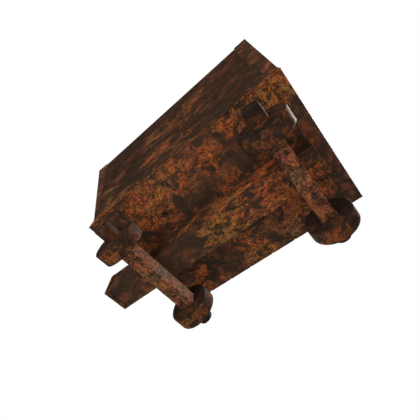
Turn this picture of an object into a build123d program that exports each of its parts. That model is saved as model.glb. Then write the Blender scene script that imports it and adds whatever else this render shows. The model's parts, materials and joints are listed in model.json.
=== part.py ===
"""Hand-pushed mine cart: a flared riveted tub on a centre sill, with four loose wheels on two square axles.

Millimetres. +X is the plain front end, the sill's buffer stands out at -X, +Y is the left side, +Z is up.
The origin is on the running surface, under the middle of the overall length and width.
"""

import os
from math import atan2, cos, degrees, sin, sqrt

from build123d import *

os.makedirs("parts", exist_ok=True)

# Tub
tub_length = 1404  # over both end frames
tub_height = 624  # from the underside of the floor to the rim
floor_width = 886
rim_width = 1226  # over the side plates
plate_thickness = 8

# End frames: a box crossbar, two leaning channel posts and a channel top rail
frame_width = 86  # along the cart
crossbar_length = 874
crossbar_height = 93
crossbar_wall = 8
cap_thickness = 6
post_rim_width = 1238  # over the posts at the rim
section_thickness = 8
post_depth = 46
top_rail_depth = 52

# Stiffeners inside the tub
angle_leg = 48
angle_end_gap = 3
rim_bar_height = 44

# Centre sill and buffer
sill_width = 178
sill_depth = 166
sill_wall = 10
sill_corner_radius = 3
buffer_reach = 178  # past the rear end frame
buffer_thickness = 25
buffer_hole_radius = 8.75  # tapped M20
buffer_hole_spacing_y = 110
buffer_hole_spacing_z = 100

# Axles
wheelbase = 962
bar_side = 87
bar_chamfer = 2
seat_thickness = 6
seat_length = 120
journal_radius = 25
thread_radius = 17
thread_length = 29
running_clearance = 0.06
end_play = 0.3

# Wheels
wheel_radius = 132.5
wheel_width = 85
wheels_back_to_back = 526
tread_chamfer = 3
hub_radius = 47
hub_length = 88  # past the wheel's outer face
hub_root_radius = 6
hub_rim_radius = 3
bush_radius = 33
inner_bush_length = 52
outer_bush_length = 48
nut_chamber_radius = 38
nut_chamber_depth = 41
hub_cap_thickness = 8
hub_cap_boss_radius = 12
hub_cap_boss_height = 3

# Axle ends
thrust_washer_radius = 42
thrust_washer_thickness = 3.7
end_washer_radius = 34
end_washer_thickness = 5
washer_clearance = 0.2
nut_flats = 50
nut_height = 18
split_pin_radius = 2.5
split_pin_clearance = 0.1
split_pin_length = 62

# Rivets, with their heads inside the tub and their tails flush outside
rivet_radius = 6
rivet_sink_radius = 9
rivet_sink_depth = 4
rivet_head_radius = 10.5
rivet_head_height = 6.5
rivet_edge = 26  # from the inside of a corner to the rivet line
side_rivet_count = 9
end_rivet_count = 6
post_rivet_count = 5

# Bolts down through the floor into the sill and the axles
bolt_radius = 10
bolt_clearance = 0.5
bolt_head_flats = 30
bolt_head_height = 12.5
bolt_spacing_y = 100
bolt_washer_radius = 20
bolt_washer_thickness = 3
axle_bolt_bite = 44
sill_bolt_offset = 200
sleeve_wall = 6

# Places that follow from the sizes above
tub_x = buffer_reach / 2
panel_half = tub_length / 2 - frame_width
axle_z = wheel_radius
seat_z = axle_z + bar_side / 2
sill_z = seat_z + seat_thickness
floor_z = sill_z + sill_depth
floor_top = floor_z + plate_thickness
crossbar_top = floor_z + crossbar_height
rim_z = floor_z + tub_height
sill_rear = tub_x - tub_length / 2 - buffer_reach
sill_front = tub_x + panel_half
grip = plate_thickness + section_thickness
side_slope = (rim_width - floor_width) / 2 / (rim_z - floor_top)
post_slope = (post_rim_width - crossbar_length) / 2 / (rim_z - crossbar_top)
side_slant = sqrt(1 + side_slope**2)
post_slant = sqrt(1 + post_slope**2)
side_angle = atan2(side_slope, 1)
sink_angle = 2 * degrees(atan2(rivet_sink_radius - rivet_radius, rivet_sink_depth))
wheel_inner_y = wheels_back_to_back / 2
shoulder_y = wheel_inner_y - end_play - thrust_washer_thickness
bore_length = wheel_width + hub_length - nut_chamber_depth
bushes_end_y = wheel_inner_y + bore_length + end_play
axle_places = {"front": tub_x + wheelbase / 2, "rear": tub_x - wheelbase / 2}
ends = {"front": 1, "rear": -1}
sides = {"left": 1, "right": -1}


def save(piece, name):
    """Labels a finished sub-part and writes it as one STEP file."""
    piece.part.label = name
    export_step(piece.part, f"parts/{name}.step")


def side_y(z):
    """Outer face of the left side plate at a height."""
    return floor_width / 2 + side_slope * (z - floor_top)


def post_y(z):
    """Outer face of a left post at a height."""
    return crossbar_length / 2 + post_slope * (z - crossbar_top)


def strip(face_y, slant, low, high, start, depth):
    """Outline, as (y, z), of a strip that begins `start` inside a leaning face and is `depth` thick."""
    near = start * slant
    far = (start + depth) * slant
    return [
        (face_y(low) - near, low),
        (face_y(high) - near, high),
        (face_y(high) - far, high),
        (face_y(low) - far, low),
    ]


def flipped(points, sign):
    """The same outline on the left (1) or the right (-1) side, run round the same way."""
    if sign > 0:
        return points
    return [(-y, z) for y, z in reversed(points)]


inner_corner_y = side_y(floor_top) - plate_thickness * side_slant
end_angle_half = inner_corner_y - angle_leg - angle_end_gap
side_rivet_half_span = panel_half - plate_thickness - angle_leg - angle_end_gap - rivet_edge


def spread(count, half_span):
    """Evenly spaced places from -half_span to half_span."""
    step = 2 * half_span / (count - 1)
    return [-half_span + step * i for i in range(count)]


def side_rivet_planes(side, up_slope):
    """Planes on the outside of a side plate, facing out, a distance up the slope from the floor."""
    z = floor_top + up_slope * cos(side_angle)
    y = side_y(z)
    out = (0, side * cos(side_angle), -sin(side_angle))
    return [
        Plane(origin=(tub_x + x, side * y, z), x_dir=(1, 0, 0), z_dir=out)
        for x in spread(side_rivet_count, side_rivet_half_span)
    ]


def floor_side_rivet_planes(side):
    """Planes under the floor, facing down, along a side."""
    y = side * (inner_corner_y - rivet_edge)
    return [
        Plane(origin=(tub_x + x, y, floor_z), x_dir=(1, 0, 0), z_dir=(0, 0, -1))
        for x in spread(side_rivet_count, side_rivet_half_span)
    ]


def floor_end_rivet_planes(end):
    """Planes under the floor, facing down, along an end."""
    x = tub_x + end * (panel_half - plate_thickness - rivet_edge)
    return [
        Plane(origin=(x, y, floor_z), x_dir=(1, 0, 0), z_dir=(0, 0, -1))
        for y in spread(end_rivet_count, end_angle_half - rivet_edge)
    ]


def end_angle_rivet_planes(end):
    """Planes on the outside of an end plate, facing out, along its foot."""
    x = tub_x + end * panel_half
    return [
        Plane(origin=(x, y, floor_top + rivet_edge), x_dir=(0, 1, 0), z_dir=(end, 0, 0))
        for y in spread(end_rivet_count, end_angle_half - rivet_edge)
    ]


def post_rivet_planes(end):
    """Planes inside the posts of one end frame, facing out, up both posts."""
    x = tub_x + end * (panel_half + section_thickness)
    low = crossbar_top + rivet_edge
    high = rim_z - top_rail_depth - rivet_edge
    step = (high - low) / (post_rivet_count - 1)
    heights = [low + step * i for i in range(post_rivet_count)]
    inset = (section_thickness + post_depth) / 2 * post_slant
    return [
        Plane(origin=(x, side * (post_y(z) - inset), z), x_dir=(0, 1, 0), z_dir=(end, 0, 0))
        for z in heights
        for side in sides.values()
    ]


def top_rail_rivet_planes(end):
    """Planes inside the top rail of one end frame, facing out."""
    x = tub_x + end * (panel_half + section_thickness)
    z = rim_z - (section_thickness + top_rail_depth) / 2
    return [
        Plane(origin=(x, y, z), x_dir=(0, 1, 0), z_dir=(end, 0, 0))
        for y in spread(end_rivet_count, end_angle_half)
    ]


def bolt_points(xs):
    """Bolt places on the floor, a pair at each x."""
    return [(x, y) for x in xs for y in (-bolt_spacing_y / 2, bolt_spacing_y / 2)]


axle_bolt_points = bolt_points(axle_places.values())
sill_bolt_points = bolt_points((tub_x - sill_bolt_offset, tub_x + sill_bolt_offset))

# Floor plate, with countersinks on its underside for the rivets
with BuildPart() as floor_plate:
    with BuildSketch(Plane.XY.offset(floor_z)):
        with Locations((tub_x, 0)):
            Rectangle(2 * panel_half, floor_width)
    extrude(amount=plate_thickness)
    for plane_maker, keys in ((floor_side_rivet_planes, sides), (floor_end_rivet_planes, ends)):
        for key in keys.values():
            with Locations(*plane_maker(key)):
                CounterSinkHole(
                    radius=rivet_radius,
                    counter_sink_radius=rivet_sink_radius,
                    depth=plate_thickness,
                    counter_sink_angle=sink_angle,
                )
    with Locations(*[(x, y, floor_top) for x, y in axle_bolt_points + sill_bolt_points]):
        Hole(radius=bolt_radius + bolt_clearance, depth=plate_thickness)
save(floor_plate, "floor_plate")

# Side plates stand on the floor plate and lean out to the rim
rim_rivet_slope = (rim_z - floor_top) * side_slant - rim_bar_height / 2
for side_name, side in sides.items():
    with BuildPart() as side_plate:
        with BuildSketch(Plane.YZ.offset(tub_x - panel_half)):
            with BuildLine():
                outline = strip(side_y, side_slant, floor_top, rim_z, 0, plate_thickness)
                Polyline(*flipped(outline, side), close=True)
            make_face()
        extrude(amount=2 * panel_half)
        for up_slope in (rivet_edge, rim_rivet_slope):
            with Locations(*side_rivet_planes(side, up_slope)):
                CounterSinkHole(
                    radius=rivet_radius,
                    counter_sink_radius=rivet_sink_radius,
                    depth=plate_thickness,
                    counter_sink_angle=sink_angle,
                )
    save(side_plate, f"side_plate_{side_name}")

# Rim bars stiffen the top edge of the side plates from inside
for side_name, side in sides.items():
    with BuildPart() as rim_bar:
        with BuildSketch(Plane.YZ.offset(tub_x - panel_half + plate_thickness)):
            with BuildLine():
                low = rim_z - rim_bar_height / side_slant
                outline = strip(side_y, side_slant, low, rim_z, plate_thickness, section_thickness)
                Polyline(*flipped(outline, side), close=True)
            make_face()
        extrude(amount=2 * (panel_half - plate_thickness))
        with Locations(*side_rivet_planes(side, rim_rivet_slope)):
            Hole(radius=rivet_radius, depth=grip + 1)
    save(rim_bar, f"rim_bar_{side_name}")

# Side angles join the floor to the side plates
for side_name, side in sides.items():
    with BuildPart() as side_angle_bar:
        with BuildSketch(Plane.YZ.offset(tub_x - panel_half + plate_thickness)):
            wall_top = floor_top + angle_leg / side_slant
            with BuildLine():
                outline = strip(side_y, side_slant, floor_top, wall_top, plate_thickness, section_thickness)
                Polyline(*flipped(outline, side), close=True)
            make_face()
            with BuildLine():
                lift = side_slope * section_thickness
                foot = [
                    (inner_corner_y, floor_top),
                    (inner_corner_y + lift, floor_top + section_thickness),
                    (inner_corner_y - angle_leg, floor_top + section_thickness),
                    (inner_corner_y - angle_leg, floor_top),
                ]
                Polyline(*flipped(foot, side), close=True)
            make_face()
        extrude(amount=2 * (panel_half - plate_thickness))
        with Locations(*side_rivet_planes(side, rivet_edge)):
            Hole(radius=rivet_radius, depth=grip + 1)
        with Locations(*floor_side_rivet_planes(side)):
            Hole(radius=rivet_radius, depth=grip + 1)
    save(side_angle_bar, f"side_angle_{side_name}")

# End plates close the tub inside the end frames
for end_name, end in ends.items():
    with BuildPart() as end_plate:
        inner_x = tub_x + end * (panel_half - plate_thickness / 2)
        with BuildSketch(Plane.YZ.offset(inner_x)):
            with BuildLine():
                high_y = side_y(rim_z) - plate_thickness * side_slant
                Polyline(
                    (-inner_corner_y, floor_top),
                    (inner_corner_y, floor_top),
                    (high_y, rim_z),
                    (-high_y, rim_z),
                    close=True,
                )
            make_face()
        extrude(amount=plate_thickness / 2, both=True)
        with Locations(*end_angle_rivet_planes(end)):
            CounterSinkHole(
                radius=rivet_radius,
                counter_sink_radius=rivet_sink_radius,
                depth=plate_thickness,
                counter_sink_angle=sink_angle,
            )
        with Locations(*post_rivet_planes(end), *top_rail_rivet_planes(end)):
            Hole(radius=rivet_radius, depth=grip)
    save(end_plate, f"end_plate_{end_name}")

# End angles join the floor to the end plates, between the side angles
for end_name, end in ends.items():
    with BuildPart() as end_angle:
        with BuildSketch(Plane.XZ.offset(-end_angle_half)):
            corner_x = tub_x + end * (panel_half - plate_thickness)
            with BuildLine():
                Polyline(
                    (corner_x, floor_top),
                    (corner_x, floor_top + angle_leg),
                    (corner_x - end * section_thickness, floor_top + angle_leg),
                    (corner_x - end * section_thickness, floor_top + section_thickness),
                    (corner_x - end * angle_leg, floor_top + section_thickness),
                    (corner_x - end * angle_leg, floor_top),
                    close=True,
                )
            make_face()
        extrude(amount=2 * end_angle_half)
        with Locations(*floor_end_rivet_planes(end), *end_angle_rivet_planes(end)):
            Hole(radius=rivet_radius, depth=grip + 1)
    save(end_angle, f"end_angle_{end_name}")

# Crossbars: box sections across each end, level with the floor plate's underside
for end_name, end in ends.items():
    with BuildPart() as crossbar:
        bar_x = tub_x + end * (panel_half + frame_width / 2)
        with BuildSketch(Plane.XZ):
            with Locations((bar_x, floor_z + crossbar_height / 2)):
                Rectangle(frame_width, crossbar_height)
                Rectangle(
                    frame_width - 2 * crossbar_wall,
                    crossbar_height - 2 * crossbar_wall,
                    mode=Mode.SUBTRACT,
                )
        extrude(amount=crossbar_length / 2 - cap_thickness, both=True)
    save(crossbar, f"crossbar_{end_name}")

# Caps welded on the four crossbar ends
with BuildPart() as crossbar_caps:
    for side in sides.values():
        cap_y = side * (crossbar_length / 2 - cap_thickness / 2)
        with BuildSketch(Plane.XZ.offset(-cap_y)):
            for end in ends.values():
                with Locations((tub_x + end * (panel_half + frame_width / 2), floor_z + crossbar_height / 2)):
                    Rectangle(frame_width, crossbar_height)
        extrude(amount=cap_thickness / 2, both=True)
save(crossbar_caps, "crossbar_caps")

# Posts: channels that stand on the crossbars with their webs outside
for end_name, end in ends.items():
    for side_name, side in sides.items():
        with BuildPart() as post:
            inner_x = tub_x + end * panel_half
            web = strip(post_y, post_slant, crossbar_top, rim_z, 0, section_thickness)
            flange = strip(post_y, post_slant, crossbar_top, rim_z, 0, post_depth)
            low_x = min(inner_x, inner_x + end * frame_width)
            with BuildSketch(Plane.YZ.offset(low_x)):
                with BuildLine():
                    Polyline(*flipped(web, side), close=True)
                make_face()
            extrude(amount=frame_width)
            with BuildSketch(
                Plane.YZ.offset(low_x),
                Plane.YZ.offset(low_x + frame_width - section_thickness),
            ):
                with BuildLine():
                    Polyline(*flipped(flange, side), close=True)
                make_face()
            extrude(amount=section_thickness)
            with Locations(*post_rivet_planes(end)):
                Hole(radius=rivet_radius, depth=grip)
        save(post, f"post_{end_name}_{side_name}")

# Top rails: channels with their webs up, between the flanges of the posts
for end_name, end in ends.items():
    with BuildPart() as top_rail:
        low_x = tub_x + end * (panel_half + frame_width / 2) - frame_width / 2
        for depth, starts, width in (
            (section_thickness, (low_x,), frame_width),
            (top_rail_depth, (low_x, low_x + frame_width - section_thickness), section_thickness),
        ):
            low = rim_z - depth
            low_y = post_y(low) - post_depth * post_slant
            high_y = post_y(rim_z) - post_depth * post_slant
            with BuildSketch(*[Plane.YZ.offset(start) for start in starts]):
                with BuildLine():
                    Polyline((-low_y, low), (low_y, low), (high_y, rim_z), (-high_y, rim_z), close=True)
                make_face()
            extrude(amount=width)
        with Locations(*top_rail_rivet_planes(end)):
            Hole(radius=rivet_radius, depth=grip)
    save(top_rail, f"top_rail_{end_name}")

# Centre sill: a box section under the floor, from the buffer to the front crossbar
with BuildPart() as centre_sill:
    with BuildSketch(Plane.YZ.offset(sill_rear + buffer_thickness)):
        with Locations((0, sill_z + sill_depth / 2)):
            RectangleRounded(sill_width, sill_depth, sill_corner_radius)
            Rectangle(sill_width - 2 * sill_wall, sill_depth - 2 * sill_wall, mode=Mode.SUBTRACT)
    extrude(amount=sill_front - sill_wall - sill_rear - buffer_thickness)
    with Locations(*[(x, y, floor_z) for x, y in axle_bolt_points]):
        Hole(radius=bolt_radius + bolt_clearance)
    with Locations(*[(x, y, floor_z) for x, y in sill_bolt_points]):
        Hole(radius=bolt_radius, depth=sill_wall)
save(centre_sill, "centre_sill")

# Plate welded over the front end of the sill
with BuildPart() as sill_cap:
    with BuildSketch(Plane.YZ.offset(sill_front - sill_wall)):
        with Locations((0, sill_z + sill_depth / 2)):
            RectangleRounded(sill_width, sill_depth, sill_corner_radius)
    extrude(amount=sill_wall)
save(sill_cap, "sill_cap")

# Buffer plate, tapped for a coupling
with BuildPart() as buffer_plate:
    with BuildSketch(Plane.YZ.offset(sill_rear)):
        with Locations((0, sill_z + sill_depth / 2)):
            RectangleRounded(sill_width, sill_depth, sill_corner_radius)
            with GridLocations(buffer_hole_spacing_y, buffer_hole_spacing_z, 2, 2):
                Circle(buffer_hole_radius, mode=Mode.SUBTRACT)
    extrude(amount=buffer_thickness)
save(buffer_plate, "buffer_plate")

# Seats packed between the sill and each axle
for end_name, axle_x in axle_places.items():
    with BuildPart() as axle_seat:
        with BuildSketch(Plane.XY.offset(seat_z)):
            with Locations((axle_x, 0)):
                Rectangle(seat_length, sill_width)
                with GridLocations(0, bolt_spacing_y, 1, 2):
                    Circle(bolt_radius + bolt_clearance, mode=Mode.SUBTRACT)
        extrude(amount=seat_thickness)
    save(axle_seat, f"axle_seat_{end_name}")

# Sleeves keep the long bolts from crushing the sill
with BuildPart() as bolt_sleeves:
    with BuildSketch(Plane.XY.offset(sill_z + sill_wall)):
        with Locations(*axle_bolt_points):
            Circle(bolt_radius + bolt_clearance + sleeve_wall)
            Circle(bolt_radius + bolt_clearance, mode=Mode.SUBTRACT)
    extrude(amount=sill_depth - 2 * sill_wall)
save(bolt_sleeves, "bolt_sleeves")

# Bolts: long ones into the axles, short ones into the sill's top wall
bolt_seat = floor_top + bolt_washer_thickness
for name, points, bolt_end in (
    ("axle_bolts", axle_bolt_points, seat_z - axle_bolt_bite),
    ("sill_bolts", sill_bolt_points, floor_z - sill_wall),
):
    with BuildPart() as bolts:
        with BuildSketch(Plane.XY.offset(bolt_seat)):
            with Locations(*points):
                RegularPolygon(bolt_head_flats / 2, 6, major_radius=False)
        extrude(amount=bolt_head_height)
        with BuildSketch(Plane.XY.offset(bolt_seat)):
            with Locations(*points):
                Circle(bolt_radius)
        extrude(amount=bolt_end - bolt_seat)
    save(bolts, name)

with BuildPart() as bolt_washers:
    with BuildSketch(Plane.XY.offset(floor_top)):
        with Locations(*axle_bolt_points, *sill_bolt_points):
            Circle(bolt_washer_radius)
            Circle(bolt_radius + bolt_clearance, mode=Mode.SUBTRACT)
    extrude(amount=bolt_washer_thickness)
save(bolt_washers, "bolt_washers")

# Axles: square bars with a journal and a thread turned on each end
pin_y = bushes_end_y + end_washer_thickness + nut_height / 2
axle_end_y = bushes_end_y + thread_length
for end_name, axle_x in axle_places.items():
    with BuildPart() as axle:
        middle = Plane(origin=(axle_x, 0, axle_z), x_dir=(1, 0, 0), z_dir=(0, 1, 0))
        with BuildSketch(middle):
            Rectangle(bar_side, bar_side)
        extrude(amount=shoulder_y, both=True)
        chamfer(axle.edges().filter_by(Axis.Y), bar_chamfer)
        for radius, reach in ((journal_radius, bushes_end_y), (thread_radius, axle_end_y)):
            with BuildSketch(middle):
                Circle(radius)
            extrude(amount=reach, both=True)
        with Locations(*[(axle_x, y, seat_z) for y in (-bolt_spacing_y / 2, bolt_spacing_y / 2)]):
            Hole(radius=bolt_radius, depth=axle_bolt_bite)
        for side in sides.values():
            with Locations(Plane(origin=(axle_x, side * pin_y, axle_z), z_dir=(1, 0, 0))):
                Hole(radius=split_pin_radius + split_pin_clearance)
    save(axle, f"axle_{end_name}")


def axle_end_plane(axle_x, side):
    """Plane in which x is the distance from the axle's centre line and y the distance out from the wheel."""
    return Plane(origin=(axle_x, side * wheel_inner_y, axle_z), x_dir=(1, 0, 0), z_dir=(0, 0, side))


# Wheels, each with its two bushes and its cap
for end_name, axle_x in axle_places.items():
    for side_name, side in sides.items():
        plane = axle_end_plane(axle_x, side)
        spin_axis = Axis(plane.origin, plane.y_dir)
        hub_end = wheel_width + hub_length

        with BuildPart() as wheel:
            with BuildSketch(plane):
                with BuildLine():
                    Polyline(
                        (bush_radius, 0),
                        (wheel_radius - tread_chamfer, 0),
                        (wheel_radius, tread_chamfer),
                        (wheel_radius, wheel_width - tread_chamfer),
                        (wheel_radius - tread_chamfer, wheel_width),
                        (hub_radius, wheel_width),
                        (hub_radius, hub_end),
                        (nut_chamber_radius, hub_end),
                        (nut_chamber_radius, bore_length),
                        (bush_radius, bore_length),
                        close=True,
                    )
                make_face()
            revolve(axis=spin_axis)
            for place, radius in ((-1, hub_rim_radius), (0, hub_root_radius)):
                circles = wheel.edges().filter_by(GeomType.CIRCLE)
                hub_circles = circles.filter_by(lambda edge: abs(edge.radius - hub_radius) < 0.01)
                fillet(hub_circles.sort_by(spin_axis)[place], radius)
        save(wheel, f"wheel_{end_name}_{side_name}")

        with BuildPart() as bushes:
            with BuildSketch(plane):
                for start, length in ((0, inner_bush_length), (bore_length - outer_bush_length, outer_bush_length)):
                    with BuildLine():
                        Polyline(
                            (journal_radius + running_clearance, start),
                            (bush_radius, start),
                            (bush_radius, start + length),
                            (journal_radius + running_clearance, start + length),
                            close=True,
                        )
                    make_face()
            revolve(axis=spin_axis)
        save(bushes, f"bushes_{end_name}_{side_name}")

        with BuildPart() as hub_cap:
            with BuildSketch(plane):
                with BuildLine():
                    Polyline(
                        (0, hub_end - hub_cap_thickness),
                        (nut_chamber_radius, hub_end - hub_cap_thickness),
                        (nut_chamber_radius, hub_end - hub_cap_boss_height),
                        (hub_cap_boss_radius, hub_end - hub_cap_boss_height),
                        (hub_cap_boss_radius, hub_end),
                        (0, hub_end),
                        close=True,
                    )
                make_face()
            revolve(axis=spin_axis)
        save(hub_cap, f"hub_cap_{end_name}_{side_name}")


def ring_profile(inner, outer, start, length):
    """Closed outline of a ring's section, for the plane of an axle end."""
    return [(inner, start), (outer, start), (outer, start + length), (inner, start + length)]


wheel_places = [(axle_x, side) for axle_x in axle_places.values() for side in sides.values()]

# Thrust washers run between each axle's shoulder and the wheel, end washers behind the nut
for name, inner, outer, start, length in (
    (
        "thrust_washers",
        journal_radius + washer_clearance,
        thrust_washer_radius,
        -end_play - thrust_washer_thickness,
        thrust_washer_thickness,
    ),
    (
        "end_washers",
        thread_radius + washer_clearance,
        end_washer_radius,
        bore_length + end_play,
        end_washer_thickness,
    ),
):
    with BuildPart() as washers:
        for axle_x, side in wheel_places:
            plane = axle_end_plane(axle_x, side)
            with BuildSketch(plane):
                with BuildLine():
                    Polyline(*ring_profile(inner, outer, start, length), close=True)
                make_face()
            revolve(axis=Axis(plane.origin, plane.y_dir))
    save(washers, name)

# Nuts and the split pins that lock them
nut_start = bore_length + end_play + end_washer_thickness
with BuildPart() as axle_nuts:
    for axle_x, side in wheel_places:
        nut_plane = Plane(
            origin=(axle_x, side * (wheel_inner_y + nut_start), axle_z), x_dir=(1, 0, 0), z_dir=(0, side, 0)
        )
        with BuildSketch(nut_plane):
            RegularPolygon(nut_flats / 2, 6, major_radius=False)
            Circle(thread_radius, mode=Mode.SUBTRACT)
        extrude(amount=nut_height)
        with Locations(Plane(origin=(axle_x, side * pin_y, axle_z), z_dir=(1, 0, 0))):
            Cylinder(split_pin_radius + split_pin_clearance, 2 * nut_flats, mode=Mode.SUBTRACT)
save(axle_nuts, "axle_nuts")

with BuildPart() as split_pins:
    for axle_x, side in wheel_places:
        with BuildSketch(Plane(origin=(axle_x, side * pin_y, axle_z), z_dir=(1, 0, 0))):
            Circle(split_pin_radius)
        extrude(amount=split_pin_length / 2, both=True)
save(split_pins, "split_pins")



def rivet_part(tail_radius):
    """One rivet along Z, with its tail at z = 0 and its head past the plates that it grips."""
    head_tip = -grip - rivet_head_height
    dome_radius = (rivet_head_radius**2 + rivet_head_height**2) / (2 * rivet_head_height)
    with BuildPart() as rivet:
        with BuildSketch(Plane.XZ):
            with BuildLine():
                Polyline(
                    (0, head_tip),
                    (0, 0),
                    (tail_radius, 0),
                    (rivet_radius, -rivet_sink_depth),
                    (rivet_radius, -grip),
                    (rivet_head_radius, -grip),
                )
                RadiusArc((rivet_head_radius, -grip), (0, head_tip), dome_radius)
            make_face()
        revolve(axis=Axis.Z)
    return rivet.part


# Tub rivets are hammered into countersinks, and frame rivets have plain shanks inside the channels
tub_rivet = rivet_part(rivet_sink_radius)
frame_rivet = rivet_part(rivet_radius)
floor_rows = [floor_side_rivet_planes(side) for side in sides.values()]
floor_rows += [floor_end_rivet_planes(end) for end in ends.values()]
side_rows = [side_rivet_planes(side, rivet_edge) for side in sides.values()]
rim_rows = [side_rivet_planes(side, rim_rivet_slope) for side in sides.values()]
end_rows = [end_angle_rivet_planes(end) for end in ends.values()]
frame_rows = [post_rivet_planes(end) + top_rail_rivet_planes(end) for end in ends.values()]
for name, pattern, rows in (
    ("floor_rivets", tub_rivet, floor_rows),
    ("side_rivets", tub_rivet, side_rows),
    ("rim_rivets", tub_rivet, rim_rows),
    ("end_rivets", tub_rivet, end_rows),
    ("frame_rivets", frame_rivet, frame_rows),
):
    with BuildPart() as rivets:
        for row in rows:
            with Locations(*row):
                add(pattern)
    save(rivets, name)
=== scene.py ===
# %% [markdown]
# # A rusty mine cart
# This lesson dresses a small steel mine cart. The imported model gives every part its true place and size,
# in metres, with the top of the rails at z = 0 and the long side of the tub along X. Looks are all that is
# added: bent and pitted plates, rolled sections with soft corners, weld beads, cast wheels and many kinds
# of rust.

# %% Load the frame
import json
from math import pi, radians, sin

import bpy
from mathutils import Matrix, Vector, noise

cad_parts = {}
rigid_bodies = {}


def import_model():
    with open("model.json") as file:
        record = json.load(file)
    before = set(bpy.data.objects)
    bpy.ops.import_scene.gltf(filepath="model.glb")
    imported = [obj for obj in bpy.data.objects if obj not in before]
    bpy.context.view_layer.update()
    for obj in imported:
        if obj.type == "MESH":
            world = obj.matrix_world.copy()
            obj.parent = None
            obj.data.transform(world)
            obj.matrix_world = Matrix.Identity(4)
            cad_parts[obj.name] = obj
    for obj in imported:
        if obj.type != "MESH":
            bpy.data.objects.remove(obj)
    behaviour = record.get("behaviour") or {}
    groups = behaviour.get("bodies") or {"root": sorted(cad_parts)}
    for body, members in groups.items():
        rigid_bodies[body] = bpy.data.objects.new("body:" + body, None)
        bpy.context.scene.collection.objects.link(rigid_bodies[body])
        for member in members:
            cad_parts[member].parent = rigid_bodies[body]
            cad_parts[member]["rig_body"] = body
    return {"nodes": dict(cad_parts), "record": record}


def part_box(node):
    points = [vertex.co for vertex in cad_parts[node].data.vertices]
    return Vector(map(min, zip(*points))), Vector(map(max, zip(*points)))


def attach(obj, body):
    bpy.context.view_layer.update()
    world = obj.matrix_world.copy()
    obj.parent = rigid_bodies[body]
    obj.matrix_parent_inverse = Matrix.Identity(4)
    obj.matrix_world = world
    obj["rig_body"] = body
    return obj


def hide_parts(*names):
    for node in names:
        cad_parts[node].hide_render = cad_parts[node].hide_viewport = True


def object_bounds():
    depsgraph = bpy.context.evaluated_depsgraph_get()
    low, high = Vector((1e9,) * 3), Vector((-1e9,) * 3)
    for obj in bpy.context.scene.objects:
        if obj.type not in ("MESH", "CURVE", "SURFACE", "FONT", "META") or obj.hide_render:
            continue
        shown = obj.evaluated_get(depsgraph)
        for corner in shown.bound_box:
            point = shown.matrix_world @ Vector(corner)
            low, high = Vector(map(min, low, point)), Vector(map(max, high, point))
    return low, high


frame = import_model()
nodes = frame["nodes"]
cad_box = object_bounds()
low, high = Vector(cad_box[0]), Vector(cad_box[1])
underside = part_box("floor_plate")[0].z
ends = ("front", "rear")
sides = ("left", "right")
print("the cart is", [round(v, 3) for v in high - low], "m overall")

# %% [markdown]
# ## The camera
# The cart is shown from low on its right, as if it hung over the viewer, so that the underside fills the
# view. A camera can be turned by hand or aimed at a point. Aiming is easier to change later: the point is
# on the underside of the tub, near the middle, and a wide lens stands close to it.

# %% Aim a wide lens at the underside
stand_point = Vector((0.5726, -0.6999, -1.2066))
aim_point = Vector((0.0457, -0.0591, underside))
lens = bpy.data.cameras.new("underside_lens")
lens.lens = 25.33
lens.sensor_width = 36.0
lens.clip_start = 0.01
lens.dof.use_dof = False
camera = bpy.data.objects.new("underside_camera", lens)
camera.location = stand_point
view_line = aim_point - stand_point
camera.rotation_euler = view_line.to_track_quat("-Z", "Y").to_euler()
bpy.context.scene.collection.objects.link(camera)
bpy.context.scene.camera = camera
print("the camera is", round(view_line.length, 3), "m from its aim point")

# %% [markdown]
# ## Floor and light
# A pale floor carries the cart in every view from above. The main view is from below that floor, so the
# floor is only solid to a camera that looks down on it: its back and all other rays pass through. The sky
# is plain white to the camera, soft grey to the steel, and dim in what the steel mirrors, because old rust
# has little shine. Soft lights shape the cart: the strongest stands high off the front end, one is behind,
# and a weak one is low on the right. The tub would keep the high light off the wheels, so a light much like
# it, in the same place, casts no shadow. Light linking keeps that one to the wheels and the axles.

# %% A floor that is clear from below
def clear_selection():
    """Back to object mode with nothing selected."""
    if bpy.context.mode != "OBJECT":
        bpy.ops.object.mode_set(mode="OBJECT")
    bpy.ops.object.select_all(action="DESELECT")


clear_selection()
bpy.ops.mesh.primitive_plane_add(size=16.0, location=(0, 0, low.z))
floor = bpy.context.object
floor.name = "studio_floor"
paint = bpy.data.materials.new("pale_floor")
paint.use_nodes = True
tree = paint.node_tree
shell = tree.nodes["Principled BSDF"]
shell.inputs["Base Color"].default_value = (0.56, 0.555, 0.545, 1)
shell.inputs["Roughness"].default_value = 0.9
clear = tree.nodes.new("ShaderNodeBsdfTransparent")
path = tree.nodes.new("ShaderNodeLightPath")
side = tree.nodes.new("ShaderNodeNewGeometry")
from_above = tree.nodes.new("ShaderNodeMath")
from_above.operation = "SUBTRACT"
from_above.use_clamp = True
tree.links.new(path.outputs["Is Camera Ray"], from_above.inputs[0])
tree.links.new(side.outputs["Backfacing"], from_above.inputs[1])
choose = tree.nodes.new("ShaderNodeMixShader")
tree.links.new(from_above.outputs[0], choose.inputs[0])
tree.links.new(clear.outputs[0], choose.inputs[1])
tree.links.new(shell.outputs[0], choose.inputs[2])
tree.links.new(choose.outputs[0], tree.nodes["Material Output"].inputs["Surface"])
floor.data.materials.append(paint)

# %% A sky with three strengths
sky = bpy.data.worlds.new("white_sky")
bpy.context.scene.world = sky
sky.use_nodes = True
sky_tree = sky.node_tree
sky_tree.nodes.remove(sky_tree.nodes["Background"])


def sky_part(colour, strength):
    """One Background node of the sky."""
    part = sky_tree.nodes.new("ShaderNodeBackground")
    part.inputs["Color"].default_value = (*colour, 1)
    part.inputs["Strength"].default_value = strength
    return part


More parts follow.
